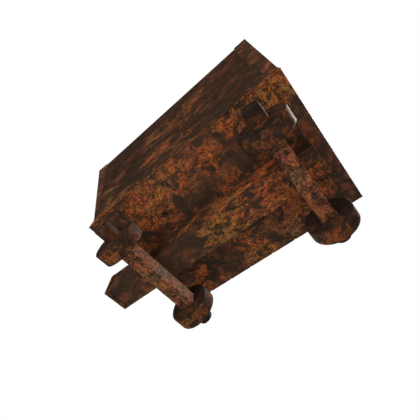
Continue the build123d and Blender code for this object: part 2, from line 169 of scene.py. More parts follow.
warm_white = (1.0, 0.985, 0.97)
seen = sky_part((1, 1, 1), 1.0)
felt = sky_part(warm_white, 0.80)
mirrored = sky_part(warm_white, 0.04)
sky_path = sky_tree.nodes.new("ShaderNodeLightPath")
dim_mix = sky_tree.nodes.new("ShaderNodeMixShader")
sky_tree.links.new(sky_path.outputs["Is Glossy Ray"], dim_mix.inputs[0])
sky_tree.links.new(felt.outputs[0], dim_mix.inputs[1])
sky_tree.links.new(mirrored.outputs[0], dim_mix.inputs[2])
sky_mix = sky_tree.nodes.new("ShaderNodeMixShader")
sky_tree.links.new(sky_path.outputs["Is Camera Ray"], sky_mix.inputs[0])
sky_tree.links.new(dim_mix.outputs[0], sky_mix.inputs[1])
sky_tree.links.new(seen.outputs[0], sky_mix.inputs[2])
sky_tree.links.new(sky_mix.outputs[0], sky_tree.nodes["World Output"].inputs["Surface"])
bpy.context.scene.view_settings.view_transform = "Standard"

# %% Soft lights
def soft_light(title, place, target, size, power, colour=(1, 1, 1)):
    """A square area light that faces a point."""
    lamp = bpy.data.lights.new(title, "AREA")
    lamp.size = size
    lamp.energy = power
    lamp.color = colour
    holder = bpy.data.objects.new(title, lamp)
    holder.location = place
    holder.rotation_euler = (Vector(target) - Vector(place)).to_track_quat("-Z", "Y").to_euler()
    bpy.context.scene.collection.objects.link(holder)
    return holder


middle = (low + high) / 2
high_place = middle + 5.0 * Vector((0.56, 0.35, 0.75))
soft_light("high_light", high_place, middle, size=1.5, power=260, colour=(1.0, 0.99, 0.98))
glint = soft_light("glint_light", high_place, middle, size=1.7, power=230, colour=(1.0, 0.94, 0.87))
glint.data.use_shadow = False
running_gear = bpy.data.collections.new("running_gear")
glint.light_linking.receiver_collection = running_gear
soft_light("back_light", (-3.2, 1.6, 3.0), middle, size=2.6, power=90)
soft_light("low_light", (-0.4, -3.6, -1.3), middle, size=2.6, power=80)

# %% [markdown]
# ## Rust that is shared
# Old rust is not one colour. Under it all is a smooth dark skin with a thin brown wash; thick rust has
# grown over that in zones, with orange crumbs, and here and there it has turned olive or brick red. A
# picture could be wrapped round the cart, but layers of noise in the cart's own coordinates fit any piece
# without seams. Each effect is a node group with named sockets, built once, and every material sets its
# own values.

# %% Small tools for building node groups
def new_group(title, inputs, outputs):
    """An empty shader node group with its sockets, its input node and its output node."""
    group = bpy.data.node_groups.new(title, "ShaderNodeTree")
    for name, kind, value in inputs:
        socket = group.interface.new_socket(name=name, in_out="INPUT", socket_type="NodeSocket" + kind)
        socket.default_value = value
    for name, kind in outputs:
        group.interface.new_socket(name=name, in_out="OUTPUT", socket_type="NodeSocket" + kind)
    return group, group.nodes.new("NodeGroupInput"), group.nodes.new("NodeGroupOutput")


def feed(tree, socket, value):
    """Links a socket to another one, or gives it a fixed value."""
    if isinstance(value, bpy.types.NodeSocket):
        tree.links.new(value, socket)
    else:
        socket.default_value = value


def maths(tree, operation, a, b=0.0):
    """One Math node; a and b are numbers or sockets."""
    step = tree.nodes.new("ShaderNodeMath")
    step.operation = operation
    feed(tree, step.inputs[0], a)
    feed(tree, step.inputs[1], b)
    return step.outputs[0]


def times(tree, a, b):
    """One number or socket times another."""
    return maths(tree, "MULTIPLY", a, b)


def weigh(tree, *pairs):
    """The sum of (value, weight) pairs."""
    total = times(tree, *pairs[0])
    for value, weight in pairs[1:]:
        total = maths(tree, "ADD", total, times(tree, value, weight))
    return total


def vector_maths(tree, operation, a, b=(0, 0, 0)):
    """One Vector Math node; a and b are vectors or sockets."""
    step = tree.nodes.new("ShaderNodeVectorMath")
    step.operation = operation
    feed(tree, step.inputs[0], a)
    if operation == "SCALE":
        feed(tree, step.inputs["Scale"], b)
    else:
        feed(tree, step.inputs[1], b)
    return step.outputs["Value" if operation == "LENGTH" else "Vector"]


def cloud(tree, vector, scale, detail, rough, distortion=0.0, output="Fac"):
    """One Noise Texture node; scale is in bumps per metre."""
    step = tree.nodes.new("ShaderNodeTexNoise")
    feed(tree, step.inputs["Vector"], vector)
    step.inputs["Scale"].default_value = scale
    step.inputs["Detail"].default_value = detail
    step.inputs["Roughness"].default_value = rough
    step.inputs["Distortion"].default_value = distortion
    return step.outputs[output]


def smooth(tree, value, start, end):
    """A soft threshold: 0 before start, 1 after end."""
    step = tree.nodes.new("ShaderNodeMapRange")
    step.interpolation_type = "SMOOTHSTEP"
    feed(tree, step.inputs["Value"], value)
    feed(tree, step.inputs["From Min"], start)
    feed(tree, step.inputs["From Max"], end)
    return step.outputs["Result"]


def ramp(tree, value, stops):
    """A colour ramp from (place, colour) pairs."""
    step = tree.nodes.new("ShaderNodeValToRGB")
    feed(tree, step.inputs["Fac"], value)
    band = step.color_ramp
    band.elements[0].position = stops[0][0]
    band.elements[0].color = (*stops[0][1], 1)
    band.elements[1].position = stops[-1][0]
    band.elements[1].color = (*stops[-1][1], 1)
    for place, colour in stops[1:-1]:
        band.elements.new(place).color = (*colour, 1)
    return step.outputs["Color"]


def blend_colour(tree, mask, under, over, mode="MIX"):
    """A colour Mix node: the second colour shows where the mask is 1."""
    step = tree.nodes.new("ShaderNodeMix")
    step.data_type = "RGBA"
    step.blend_type = mode
    first_colour, second_colour = step.inputs[6], step.inputs[7]
    feed(tree, step.inputs["Factor"], mask)
    feed(tree, first_colour, under)
    feed(tree, second_colour, over)
    return step.outputs[2]


# %% [markdown]
# ## A patch at a place
# Some rust sits where the cart's life has put it: under the sill, at a corner, on one face of an axle. A
# patch is an ellipsoid round a chosen point. Noise is added to the distance from that point, so the rim is
# ragged.

# %% A patch at a place
patch_group, start, end = new_group(
    "rust_patch",
    [("Vector", "Vector", (0, 0, 0)), ("Centre", "Vector", (0, 0, 0)), ("Size", "Vector", (0.1, 0.1, 0.1))],
    [("Mask", "Float")],
)
offset = vector_maths(patch_group, "SUBTRACT", start.outputs["Vector"], start.outputs["Centre"])
offset = vector_maths(patch_group, "DIVIDE", offset, start.outputs["Size"])
ragged = cloud(patch_group, start.outputs["Vector"], 11.0, 6, 0.66)
raggedness = 2.6
distance = vector_maths(patch_group, "LENGTH", offset)
distance = maths(patch_group, "ADD", distance, times(patch_group, ragged, raggedness))
feed(patch_group, end.inputs["Mask"], smooth(patch_group, distance, 2.45, 1.75))

# %% [markdown]
# ## Where each layer of rust lies
# Rust grows in zones some 30 cm wide, mottled inside them every few centimetres, with crumbs of 3 cm and
# less. One noise stands for each size, and their weighted sum is the growth: where it passes a threshold
# the rust is thick. The place is first swayed a little, so that no zone looks like plain noise. The thin
# brown wash lies in zones of its own. Each material may raise or lower the cover everywhere, and have
# patches where it is thicker, barer, olive or red.

# %% Noises and masks
rust_group, start, end = new_group(
    "layered_rust",
    [
        ("Vector", "Vector", (0, 0, 0)),
        ("Thick", "Float", 0.0),
        ("Olive", "Float", 0.0),
        ("Red", "Float", 0.0),
        ("Cover", "Float", 0.0),
    ],
    [("Color", "Color"), ("Roughness", "Float"), ("Height", "Float")],
)
straight = start.outputs["Vector"]
thick_patch = start.outputs["Thick"]
olive_patch = start.outputs["Olive"]
red_patch = start.outputs["Red"]
cover = start.outputs["Cover"]
sway_reach = 0.11
sway = cloud(rust_group, straight, 7.0, 5, 0.62, output="Color")
sway = vector_maths(rust_group, "SUBTRACT", sway, (0.5, 0.5, 0.5))
place = vector_maths(rust_group, "ADD", straight, vector_maths(rust_group, "SCALE", sway, sway_reach))


def elsewhere(shift):
    """The swayed place moved by some metres, which gives another stretch of the same noise."""
    return vector_maths(rust_group, "ADD", place, shift)


toward_light = (0.0036, 0.0028, -0.0032)
crumb_values = (38.0, 8, 0.74, 0.3)
zone = cloud(rust_group, place, 3.4, 5, 0.62)
mottle = cloud(rust_group, place, 15.0, 8, 0.7, 0.5)
crumb = cloud(rust_group, place, *crumb_values)
crumb_beside = cloud(rust_group, elsewhere(toward_light), *crumb_values)
grain = cloud(rust_group, straight, 190.0, 5, 0.65)
wash_zone = cloud(rust_group, elsewhere((5.2, 1.3, 8.8)), 3.8, 5, 0.64)
olive_zone = cloud(rust_group, elsewhere((3.1, 7.7, 1.9)), 4.3, 5, 0.62)
red_zone = cloud(rust_group, elsewhere((9.4, 2.3, 5.5)), 5.2, 5, 0.62)

growth = weigh(rust_group, (zone, 0.95), (mottle, 0.7), (crumb, 0.35), (cover, 1.0), (thick_patch, 0.2))
thick = smooth(rust_group, growth, 1.075, 1.15)
near_thick = smooth(rust_group, growth, 0.96, 1.08)
wash = weigh(rust_group, (wash_zone, 0.9), (mottle, 0.6), (cover, 0.5), (thick_patch, 0.06))
wash = smooth(rust_group, wash, 0.68, 0.94)
speckle = smooth(rust_group, weigh(rust_group, (crumb, 0.62), (mottle, 0.38)), 0.41, 0.60)
film = smooth(rust_group, weigh(rust_group, (mottle, 0.5), (zone, 0.3), (grain, 0.2)), 0.35, 0.67)


def tinted(tint_zone, patch, first, last):
    """Where a tint shows: in its own zones on thick rust, and wherever a patch asks for it."""
    shown = smooth(rust_group, weigh(rust_group, (tint_zone, 1.0), (patch, 0.3)), first, last)
    return times(rust_group, shown, maths(rust_group, "MAXIMUM", thick, patch))


def ridge_lines(scale, shift, width):
    """Thin, winding lines: where a noise crosses its middle value."""
    spread = cloud(rust_group, elsewhere(shift), scale, 5, 0.62, 0.5)
    away = maths(rust_group, "ABSOLUTE", maths(rust_group, "SUBTRACT", spread, 0.5))
    return smooth(rust_group, away, width, width * 0.25)


olive_mask = tinted(olive_zone, olive_patch, 0.56, 0.66)
red_mask = tinted(red_zone, red_patch, 0.61, 0.70)
wide_lines = ridge_lines(15.0, (1.5, 6.1, 2.7), 0.034)
close_lines = ridge_lines(31.0, (6.6, 0.4, 3.9), 0.034)
lines = maths(rust_group, "MAXIMUM", wide_lines, close_lines)
lines = times(rust_group, lines, smooth(rust_group, mottle, 0.42, 0.52))
lines = times(rust_group, lines, near_thick)

# %% [markdown]
# ## The colours of the layers
# Each layer is a colour ramp from its pits to its crumbs, except that the thin ridge lines turn from orange
# to olive with the zone they lie in. The layers are laid over each other with the masks. The crumbs are
# then shaded as if light came from one side: a spot that is higher than the one a few millimetres nearer
# the light is lit, and a lower one is dark. Real relief of that size would need millions of faces.

# %% Colours, gloss and relief
skin = ramp(
    rust_group,
    film,
    [
        (0.05, (0.0315, 0.0178, 0.0098)),
        (0.30, (0.0400, 0.0212, 0.0114)),
        (0.50, (0.0560, 0.0255, 0.0126)),
        (0.72, (0.0920, 0.0330, 0.0135)),
        (1.00, (0.1500, 0.0440, 0.0145)),
    ],
)
wash_tone = ramp(
    rust_group,
    speckle,
    [(0.10, (0.052, 0.0225, 0.0120)), (0.50, (0.108, 0.0330, 0.0150)), (0.90, (0.190, 0.0480, 0.0180))],
)
orange_tone = ramp(
    rust_group,
    speckle,
    [
        (0.08, (0.0330, 0.0155, 0.0078)),
        (0.32, (0.0740, 0.0250, 0.0095)),
        (0.52, (0.1350, 0.0350, 0.0115)),
        (0.72, (0.2300, 0.0540, 0.0150)),
        (0.95, (0.3000, 0.0860, 0.0260)),
    ],
)
olive_tone = ramp(
    rust_group,
    speckle,
    [(0.10, (0.034, 0.0185, 0.0065)), (0.50, (0.098, 0.0500, 0.0135)), (0.90, (0.180, 0.0950, 0.0260))],
)
red_tone = ramp(
    rust_group,
    speckle,
    [(0.10, (0.045, 0.0170, 0.0090)), (0.50, (0.130, 0.0320, 0.0155)), (0.90, (0.250, 0.0650, 0.0310))],
)
line_tone = ramp(
    rust_group,
    olive_zone,
    [(0.42, (0.340, 0.0780, 0.0130)), (0.54, (0.290, 0.0920, 0.0180)), (0.66, (0.200, 0.1050, 0.0290))],
)
colour = skin
for mask, strength, tone in (
    (wash, 0.75, wash_tone),
    (thick, 0.8, orange_tone),
    (olive_mask, 0.75, olive_tone),
    (red_mask, 0.8, red_tone),
    (lines, 0.95, line_tone),
):
    colour = blend_colour(rust_group, times(rust_group, mask, strength), colour, tone)

slope_gain = 6.5
darkest, lightest = 0.25, 1.9
shade = times(rust_group, maths(rust_group, "SUBTRACT", crumb, crumb_beside), slope_gain)
shade = times(rust_group, shade, maths(rust_group, "ADD", times(rust_group, thick, 0.85), 0.15))
shade = maths(rust_group, "MAXIMUM", maths(rust_group, "ADD", 1.0, shade), darkest)
shade = maths(rust_group, "MINIMUM", shade, lightest)
rough = weigh(rust_group, (thick, 0.34), (maths(rust_group, "SUBTRACT", crumb, 0.5), 0.35))
rough = maths(rust_group, "ADD", rough, 0.52)
crust = weigh(rust_group, (speckle, 1.0), (lines, 0.6))
crust = times(rust_group, crust, maths(rust_group, "ADD", times(rust_group, thick, 0.85), 0.12))
relief = weigh(rust_group, (crust, 1.0), (mottle, 0.5), (grain, 0.12))
feed(rust_group, end.inputs["Color"], vector_maths(rust_group, "SCALE", colour, shade))
feed(rust_group, end.inputs["Roughness"], rough)
feed(rust_group, end.inputs["Height"], relief)

# %% [markdown]
# ## Rubbed edges and settled dust
# Corners that are knocked and rubbed lose their crust first. A Bevel node rounds the normals near an edge,
# and where they turn away from the true ones the edge is bare, broken up by noise. Dust settles on what
# looks up.

# %% Rubbed edges and settled dust
edge_group, start, end = new_group(
    "rubbed_edges",
    [("Vector", "Vector", (0, 0, 0)), ("Reach", "Float", 0.004)],
    [("Mask", "Float")],
)
rounded = edge_group.nodes.new("ShaderNodeBevel")
rounded.samples = 4
feed(edge_group, rounded.inputs["Radius"], start.outputs["Reach"])
true_side = edge_group.nodes.new("ShaderNodeNewGeometry")
alike = edge_group.nodes.new("ShaderNodeVectorMath")
alike.operation = "DOT_PRODUCT"
feed(edge_group, alike.inputs[0], rounded.outputs["Normal"])
feed(edge_group, alike.inputs[1], true_side.outputs["Normal"])
turned = smooth(edge_group, alike.outputs["Value"], 0.985, 0.86)
chips = cloud(edge_group, start.outputs["Vector"], 34.0, 6, 0.7)
feed(edge_group, end.inputs["Mask"], times(edge_group, turned, smooth(edge_group, chips, 0.42, 0.6)))

dust_group, start, end = new_group(
    "settled_dust",
    [("Vector", "Vector", (0, 0, 0)), ("Normal", "Vector", (0, 0, 1))],
    [("Mask", "Float")],
)
split = dust_group.nodes.new("ShaderNodeSeparateXYZ")
feed(dust_group, split.inputs[0], start.outputs["Normal"])
facing_up = smooth(dust_group, split.outputs["Z"], 0.55, 0.95)
drift = cloud(dust_group, start.outputs["Vector"], 7.0, 7, 0.62)
feed(dust_group, end.inputs["Mask"], times(dust_group, facing_up, smooth(dust_group, drift, 0.4, 0.62)))
print("node groups:", [group.name for group in (patch_group, rust_group, edge_group, dust_group)])

# %% [markdown]
# ## One function for every rusty finish
# The floor, the sides, the frames, the sill, the axles and the wheels rusted in different ways: on the
# sides the rust is drawn out along the cart, and the underside grew it in islands. All of them are the
# same layers, each with its own shift, and some with a stretch or patches of their own, so one function
# makes them. The shader itself stays in the material, with its fixed gloss values on its own sockets.

# %% The finish maker
def place_group(tree, group, **values):
    """Puts a node group in a material and feeds its sockets."""
    step = tree.nodes.new("ShaderNodeGroup")
    step.node_tree = group
    for name, value in values.items():
        feed(tree, step.inputs[name], value)
    return step


# Near-black tone of the painted shade on faces turned along Y.
painted_side_shade_tone = (0.018, 0.0110, 0.0075, 1)
dust_tone = (0.21, 0.145, 0.095, 1)
rubbed_tone = (0.20, 0.125, 0.085, 1)


def rusty(title, shift, stretch=(1, 1, 1), cover=0.0, patches=(), tint=(1, 1, 1), relief=0.0016,
          rubbed=0.5, dust=0.0, metal=0.0, specular=0.16, painted_side_shade=0.0, dull=0.0):
    """A rusty steel finish. A patch is (kind, centre, size), where kind is thick, olive, red or bare."""
    finish = bpy.data.materials.new(title)
    finish.use_nodes = True
    tree = finish.node_tree
    shell = tree.nodes["Principled BSDF"]
    where = tree.nodes.new("ShaderNodeTexCoord")
    here = where.outputs["Object"]
    pulled = tree.nodes.new("ShaderNodeMapping")
    pulled.inputs["Location"].default_value = shift
    pulled.inputs["Scale"].default_value = stretch
    tree.links.new(here, pulled.inputs["Vector"])
    sums = {"thick": 0.0, "olive": 0.0, "red": 0.0, "bare": 0.0}
    for kind, centre, size in patches:
        spot = place_group(tree, patch_group, Vector=here, Centre=centre, Size=size)
        sums[kind] = maths(tree, "MAXIMUM", sums[kind], spot.outputs["Mask"])
    thickness = maths(tree, "SUBTRACT", sums["thick"], sums["bare"])
    layers = place_group(tree, rust_group, Vector=pulled.outputs["Vector"], Thick=thickness,
                         Olive=sums["olive"], Red=sums["red"], Cover=cover)
    colour = blend_colour(tree, 1.0, layers.outputs["Color"], (*tint, 1), "MULTIPLY")
    # Painted shade: every face turned along Y, which on the wheels is a flat side, is darkened toward a
    # near-black tone.
    if painted_side_shade:
        facing = tree.nodes.new("ShaderNodeSeparateXYZ")
        tree.links.new(where.outputs["Normal"], facing.inputs[0])
        side_on = smooth(tree, maths(tree, "ABSOLUTE", facing.outputs["Y"]), 0.6, 0.95)
        colour = blend_colour(tree, times(tree, side_on, painted_side_shade), colour, painted_side_shade_tone)
    if rubbed:
        edges = place_group(tree, edge_group, Vector=here)
        colour = blend_colour(tree, times(tree, edges.outputs["Mask"], rubbed), colour, rubbed_tone)
    if dust:
        settled = place_group(tree, dust_group, Vector=here, Normal=where.outputs["Normal"])
        colour = blend_colour(tree, times(tree, settled.outputs["Mask"], dust), colour, dust_tone)
    tree.links.new(colour, shell.inputs["Base Color"])
    tree.links.new(maths(tree, "ADD", layers.outputs["Roughness"], dull), shell.inputs["Roughness"])
    shell.inputs["Metallic"].default_value = metal
    shell.inputs["Specular IOR Level"].default_value = specular
    bump = tree.nodes.new("ShaderNodeBump")
    bump.inputs["Strength"].default_value = 0.9
    bump.inputs["Distance"].default_value = relief
    tree.links.new(layers.outputs["Height"], bump.inputs["Height"])
    tree.links.new(bump.outputs["Normal"], shell.inputs["Normal"])
    return finish


# %% [markdown]
# ## Tub and frames
# The underside of the floor carries the richest rust, because it never dries: islands of thick crust with
# olive and red in them, and bare skin between. The corner under the front right post is crusted all over,
# plate and crossbar alike, so both get the same patches. The sides have brown streaks on a skin that a tint
# darkens as painted shade, and the right one is barer near the front and along the rim.

# %% Finishes of the tub and its frames
corner_patches = [
    ("thick", (0.71, -0.37, underside), (0.13, 0.15, 0.1)),
    ("olive", (0.672, -0.355, underside), (0.05, 0.08, 0.1)),
    ("red", (0.765, -0.39, underside), (0.035, 0.06, 0.1)),
]
floor_rust = rusty(
    "floor_rust",
    shift=(0.3, 1.7, 0.2),
    patches=[
        *corner_patches,
        ("thick", (-0.20, -0.25, underside), (0.16, 0.13, 0.2)),
        ("thick", (0.25, -0.32, underside), (0.07, 0.06, 0.1)),
        ("thick", (0.452, -0.385, underside), (0.09, 0.09, 0.1)),
        ("thick", (0.10, 0.40, underside), (0.13, 0.10, 0.1)),
        ("thick", (-0.31, 0.27, underside), (0.09, 0.09, 0.1)),
        ("olive", (0.10, 0.40, underside), (0.08, 0.07, 0.1)),
        ("olive", (-0.22, -0.30, underside), (0.10, 0.08, 0.1)),
        ("red", (0.36, 0.29, underside), (0.12, 0.13, 0.1)),
        ("red", (-0.03, -0.27, underside), (0.03, 0.03, 0.1)),
        ("red", (-0.27, -0.38, underside), (0.03, 0.03, 0.1)),
        ("olive", (-0.13, -0.24, underside), (0.08, 0.06, 0.1)),
        ("red", (-0.20, 0.42, underside), (0.07, 0.07, 0.1)),
        ("bare", (0.10, -0.18, underside), (0.16, 0.07, 0.1)),
        ("bare", (0.42, -0.20, underside), (0.14, 0.09, 0.1)),
        ("bare", (-0.05, 0.28, underside), (0.10, 0.12, 0.1)),
        ("bare", (-0.42, 0.15, underside), (0.10, 0.20, 0.1)),
    ],
    dust=0.6,
)
side_rust_and_shade = rusty(
    "side_rust_and_shade",
    shift=(1.1, 0.4, 2.6),
    stretch=(0.6, 1.0, 1.2),
    cover=-0.05,
    patches=[
        ("bare", (0.60, -0.55, 0.55), (0.24, 0.20, 0.5)),
        ("bare", (-0.2, -0.60, 0.9), (0.7, 0.2, 0.1)),
    ],
    # The tint shifts the sides' hue and darkens them: painted shade that keeps them darker than the lights
    # leave them.
    tint=(0.80, 0.75, 0.71),
    dust=0.4,
)
end_rust = rusty("end_rust", shift=(4.1, 2.2, 0.8), dust=0.4)
frame_rust = rusty(
    "frame_rust",
    shift=(2.7, 5.1, 3.3),
    cover=0.01,
    patches=[
        *corner_patches,
        ("thick", (0.735, 0.15, underside), (0.03, 0.05, 0.1)),
        ("thick", (0.71, 0.31, underside), (0.04, 0.05, 0.1)),
        ("bare", (0.76, 0.14, underside), (0.10, 0.42, 0.10)),
        ("bare", (0.74, -0.60, 0.72), (0.25, 0.16, 0.45)),
    ],
    dust=0.5,
)

# %% [markdown]
# ## Sill and running gear
# The sill has an olive band in its middle, a red scab beside it and a rubbed bare tip, where other carts
# have bumped it. The axles are crusted all over, but with a sheen that shows on faces turned to the high
# light. Painted shade turns the wheels' flat sides near-black, and their treads are dull.

# %% Finishes of the sill and the running gear
sill_low, sill_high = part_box("centre_sill")
sill_bottom = sill_low.z
sill_rust = rusty(
    "sill_rust",
    shift=(6.3, 0.9, 1.4),
    stretch=(0.7, 1.0, 1.0),
    patches=[
        ("thick", (0.14, -0.01, sill_bottom), (0.24, 0.16, 0.12)),
        ("olive", (0.12, -0.01, sill_bottom), (0.15, 0.13, 0.12)),
        ("red", (0.25, 0.03, sill_bottom), (0.09, 0.06, 0.05)),
        ("thick", (0.25, 0.03, sill_bottom), (0.09, 0.06, 0.05)),
        ("thick", (0.42, 0.0, sill_bottom), (0.12, 0.12, 0.1)),
        ("olive", (0.16, -0.09, 0.24), (0.16, 0.05, 0.05)),
        ("thick", (0.05, -0.09, 0.26), (0.40, 0.05, 0.08)),
        ("bare", (-0.68, -0.02, 0.24), (0.22, 0.28, 0.18)),
        ("bare", (-0.26, -0.04, sill_bottom + 0.03), (0.20, 0.16, 0.16)),
    ],
    dust=0.5,
)
axle_bottom = underside - 0.26
axle_rust = rusty(
    "axle_rust",
    shift=(7.7, 3.2, 0.3),
    cover=0.11,
    patches=[
        ("thick", (0.555, -0.14, axle_bottom), (0.06, 0.10, 0.06)),
        ("olive", (0.560, -0.06, axle_bottom), (0.03, 0.05, 0.05)),
        ("red", (0.545, -0.17, axle_bottom), (0.05, 0.05, 0.05)),
        ("red", (0.580, 0.18, axle_bottom), (0.05, 0.07, 0.05)),
        ("red", (-0.350, -0.16, axle_bottom + 0.06), (0.04, 0.14, 0.06)),
        ("thick", (-0.350, 0.02, axle_bottom + 0.06), (0.05, 0.36, 0.08)),
        ("olive", (-0.350, 0.08, axle_bottom + 0.06), (0.05, 0.14, 0.07)),
        ("olive", (-0.385, 0.09, axle_bottom), (0.06, 0.13, 0.06)),
        ("thick", (-0.390, -0.10, axle_bottom), (0.06, 0.12, 0.06)),
    ],
    tint=(0.97, 0.93, 0.86),
    relief=0.0020,
    specular=0.42,
    dull=-0.12,
)
wheel_rust = rusty(
    "wheel_rust",
    shift=(8.8, 6.4, 2.1),
    cover=-0.08,
    patches=[
        ("thick", (-0.43, -0.31, 0.02), (0.09, 0.10, 0.08)),
        ("thick", (-0.40, 0.31, 0.02), (0.12, 0.10, 0.08)),
        ("red", (-0.29, -0.31, 0.10), (0.06, 0.06, 0.06)),
        ("red", (0.54, -0.28, 0.0), (0.05, 0.04, 0.04)),
    ],
    tint=(0.58, 0.62, 0.66),
    relief=0.0005,
    specular=0.12,
    # painted shade on the wheels' flat sides
    painted_side_shade=0.65,
    dull=0.15,
)
fastener_rust = rusty("fastener_rust", shift=(5.5, 5.9, 7.1), cover=0.03, relief=0.0008, rubbed=0.3)
weld_rust = rusty("weld_rust", shift=(1.9, 8.2, 4.4), cover=0.05, tint=(0.95, 0.92, 0.9), relief=0.0006,
                  rubbed=0.0, specular=0.04)
bush_metal = rusty("bush_metal", shift=(2.2, 2.9, 9.1), cover=-0.2, tint=(1.8, 1.7, 1.2), relief=0.0004,
                   rubbed=0.0, metal=0.6)
print("finishes:", [finish.name for finish in bpy.data.materials if finish.name.endswith(("rust", "metal"))])

# %% [markdown]
# ## Parts kept as they are
# Rivets, bolts, nuts, washers, pins, sleeves and bushes are small turned or pressed parts that need no
# more than a finish. Every part's material name in the record picks its finish here. The larger parts get
# one as well, but below each of them is replaced by a worked copy.

# %% Give every carried-over part its finish
finish_of_slot = {
    "tub_plate": end_rust,
    "frame_steel": frame_rust,
    "sill_steel": sill_rust,
    "axle_steel": axle_rust,
    "wheel_iron": wheel_rust,
    "bush_bronze": bush_metal,
    "rivet_steel": fastener_rust,
    "fastener_steel": fastener_rust,
}
slot_of_node = {row["node"]: row["material_slot"] for row in frame["record"]["subparts"]}
for name, part in nodes.items():
    part.data.materials.clear()
    part.data.materials.append(finish_of_slot[slot_of_node[name]])
print("finished", len(nodes), "carried-over parts")

# %% [markdown]
# ## Plates and sections with real edges
# A part straight from CAD has razor edges and glass-flat faces. Each large steel part is therefore copied,
# its loose triangles are merged into true faces, its edges are rounded a little with a Bevel modifier, and
# rings of cuts are added so that rust pits can be pushed into its faces. The CAD part itself is left
# alone. Sculpting by hand would also work, but modifiers give every part the same age and can be changed
# at once.

# %% Tools for working a copy of a part
def take(piece):
    """Makes one piece the selected and active one."""
    clear_selection()
    piece.hide_set(False)
    piece.select_set(True)
    bpy.context.view_layer.objects.active = piece


def copy_part(node, title):
    """A merged copy of a CAD part, ready to be worked, with flat faces in one piece."""
    piece = nodes[node].copy()
    piece.data = nodes[node].data.copy()
    piece.name = title
    piece.data.name = title
    piece.parent = None
    for key in list(piece.keys()):
        del piece[key]
    bpy.context.scene.collection.objects.link(piece)
    take(piece)
    if piece.data.has_custom_normals:
        bpy.ops.mesh.customdata_custom_splitnormals_clear()
    bpy.ops.object.mode_set(mode="EDIT")
    bpy.ops.mesh.select_all(action="SELECT")
    bpy.ops.mesh.remove_doubles(threshold=0.00002)
    bpy.ops.mesh.dissolve_limited(angle_limit=radians(0.6))
    bpy.ops.object.mode_set(mode="OBJECT")
    return piece


def apply_modifier(piece, kind, **values):
    """Adds a modifier, sets it and applies it."""
    take(piece)
    step = piece.modifiers.new(kind.lower(), kind)
    for name, value in values.items():
        setattr(step, name, value)
    bpy.ops.object.modifier_apply(modifier=step.name)


def soften(piece, width):
    """Rounds every edge sharper than 35 degrees."""
    apply_modifier(piece, "BEVEL", width=width, segments=2, limit_method="ANGLE", angle_limit=radians(35),
                   use_clamp_overlap=True, miter_outer="MITER_ARC")


def cut_rings(piece, axis, pitch):
    """Cuts right across a piece at even steps along one axis."""
    take(piece)
    places = [v.co[axis] for v in piece.data.vertices]
    first, last = min(places), max(places)
    count = int((last - first) / pitch)
    normal = [0, 0, 0]
    normal[axis] = 1
    bpy.ops.object.mode_set(mode="EDIT")
    for step in range(1, count + 1):
        point = [0, 0, 0]
        point[axis] = first + (last - first) * step / (count + 1)
        bpy.ops.mesh.select_all(action="SELECT")
        bpy.ops.mesh.bisect(plane_co=point, plane_no=normal)
    bpy.ops.object.mode_set(mode="OBJECT")


clouds = {}


def cloud_texture(size):
    """A shared cloud texture for the Displace modifier."""
    key = f"cloud_{int(size * 1000)}"
    if key not in clouds:
        clouds[key] = bpy.data.textures.new(key, "CLOUDS")
        clouds[key].noise_scale = size
        clouds[key].noise_depth = 2
    return clouds[key]


def free_part(piece, rule):
    """A vertex group that says how freely each point may move, from 0 to 1."""
    group = piece.vertex_groups.new(name="free")
    for vertex in piece.data.vertices:
        group.add([vertex.index], max(0.0, min(1.0, rule(vertex.co))), "REPLACE")
    return group.name


inward_only = 1.1
both_ways = 0.5


def pit(piece, depth, size, rule=None, direction="NORMAL", mid_level=inward_only):
    """Pushes points in by up to a depth, or in and out; a rule holds some of them back."""
    mask = free_part(piece, rule) if rule else ""
    apply_modifier(piece, "DISPLACE", texture=cloud_texture(size), texture_coords="LOCAL", strength=depth,
                   mid_level=mid_level, direction=direction, vertex_group=mask)
    if rule:
        piece.vertex_groups.clear()


def settle(piece, finish, node):
    """Keeps a piece in the cart's box, shades and finishes it, and lets it stand for the CAD part."""
    for vertex in piece.data.vertices:
        vertex.co = [max(low[i], min(high[i], vertex.co[i])) for i in range(3)]
    take(piece)
    bpy.ops.object.shade_smooth_by_angle(angle=radians(40))
    piece.data.materials.clear()
    piece.data.materials.append(finish)
    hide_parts(node)
    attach(piece, nodes[node]["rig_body"])
    print(node, "has", len(piece.data.polygons), "faces")


def ease(value, start, end):
    """0 before start, 1 after end, smooth between."""
    t = max(0.0, min(1.0, (value - start) / (end - start)))
    return t * t * (3 - 2 * t)


# %% [markdown]
# ## The five plates of the tub
# Years of ore have dented the plates between the frames, the angles and the sill, and left them as they
# were where something holds them. Each plate gets a grid of cuts, then a wide, shallow displacement along
# its thickness, masked so that its borders and the strip over the sill don't bend, and last the rust pits.

# %% Dented plates
floor_low, floor_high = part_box("floor_plate")
plates = {
    "floor_plate": ("Z", floor_rust, 0.012),
    "side_plate_left": ("Y", side_rust_and_shade, 0.016),
    "side_plate_right": ("Y", side_rust_and_shade, 0.016),
    "end_plate_front": ("X", end_rust, 0.016),
    "end_plate_rear": ("X", end_rust, 0.016),
}
plate_edge = 0.0018
plate_pitch = 0.024
dent_size = 0.26
scab_depth, scab_size = 0.0022, 0.035
held_border = 0.06


def plate_freedom(node):
    """A rule for how far each point of a plate is from what holds the plate."""
    a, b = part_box(node)

    def rule(point):
        to_edge = [min(point[i] - a[i], b[i] - point[i]) for i in range(3)]
        if node == "floor_plate":
            beside_sill = ease(abs(point.y), 0.10, 0.19)
            return ease(min(to_edge[0], to_edge[1]), held_border, 0.17) * beside_sill
        if node.startswith("side"):
            return ease(min(to_edge[0], to_edge[2]), held_border, 0.17)
        lean = (b.y - floor_high.y) / (b.z - a.z)
        to_side = floor_high.y + (point.z - a.z) * lean - abs(point.y)
        return ease(min(to_edge[2], to_side), held_border, 0.16)

    return rule


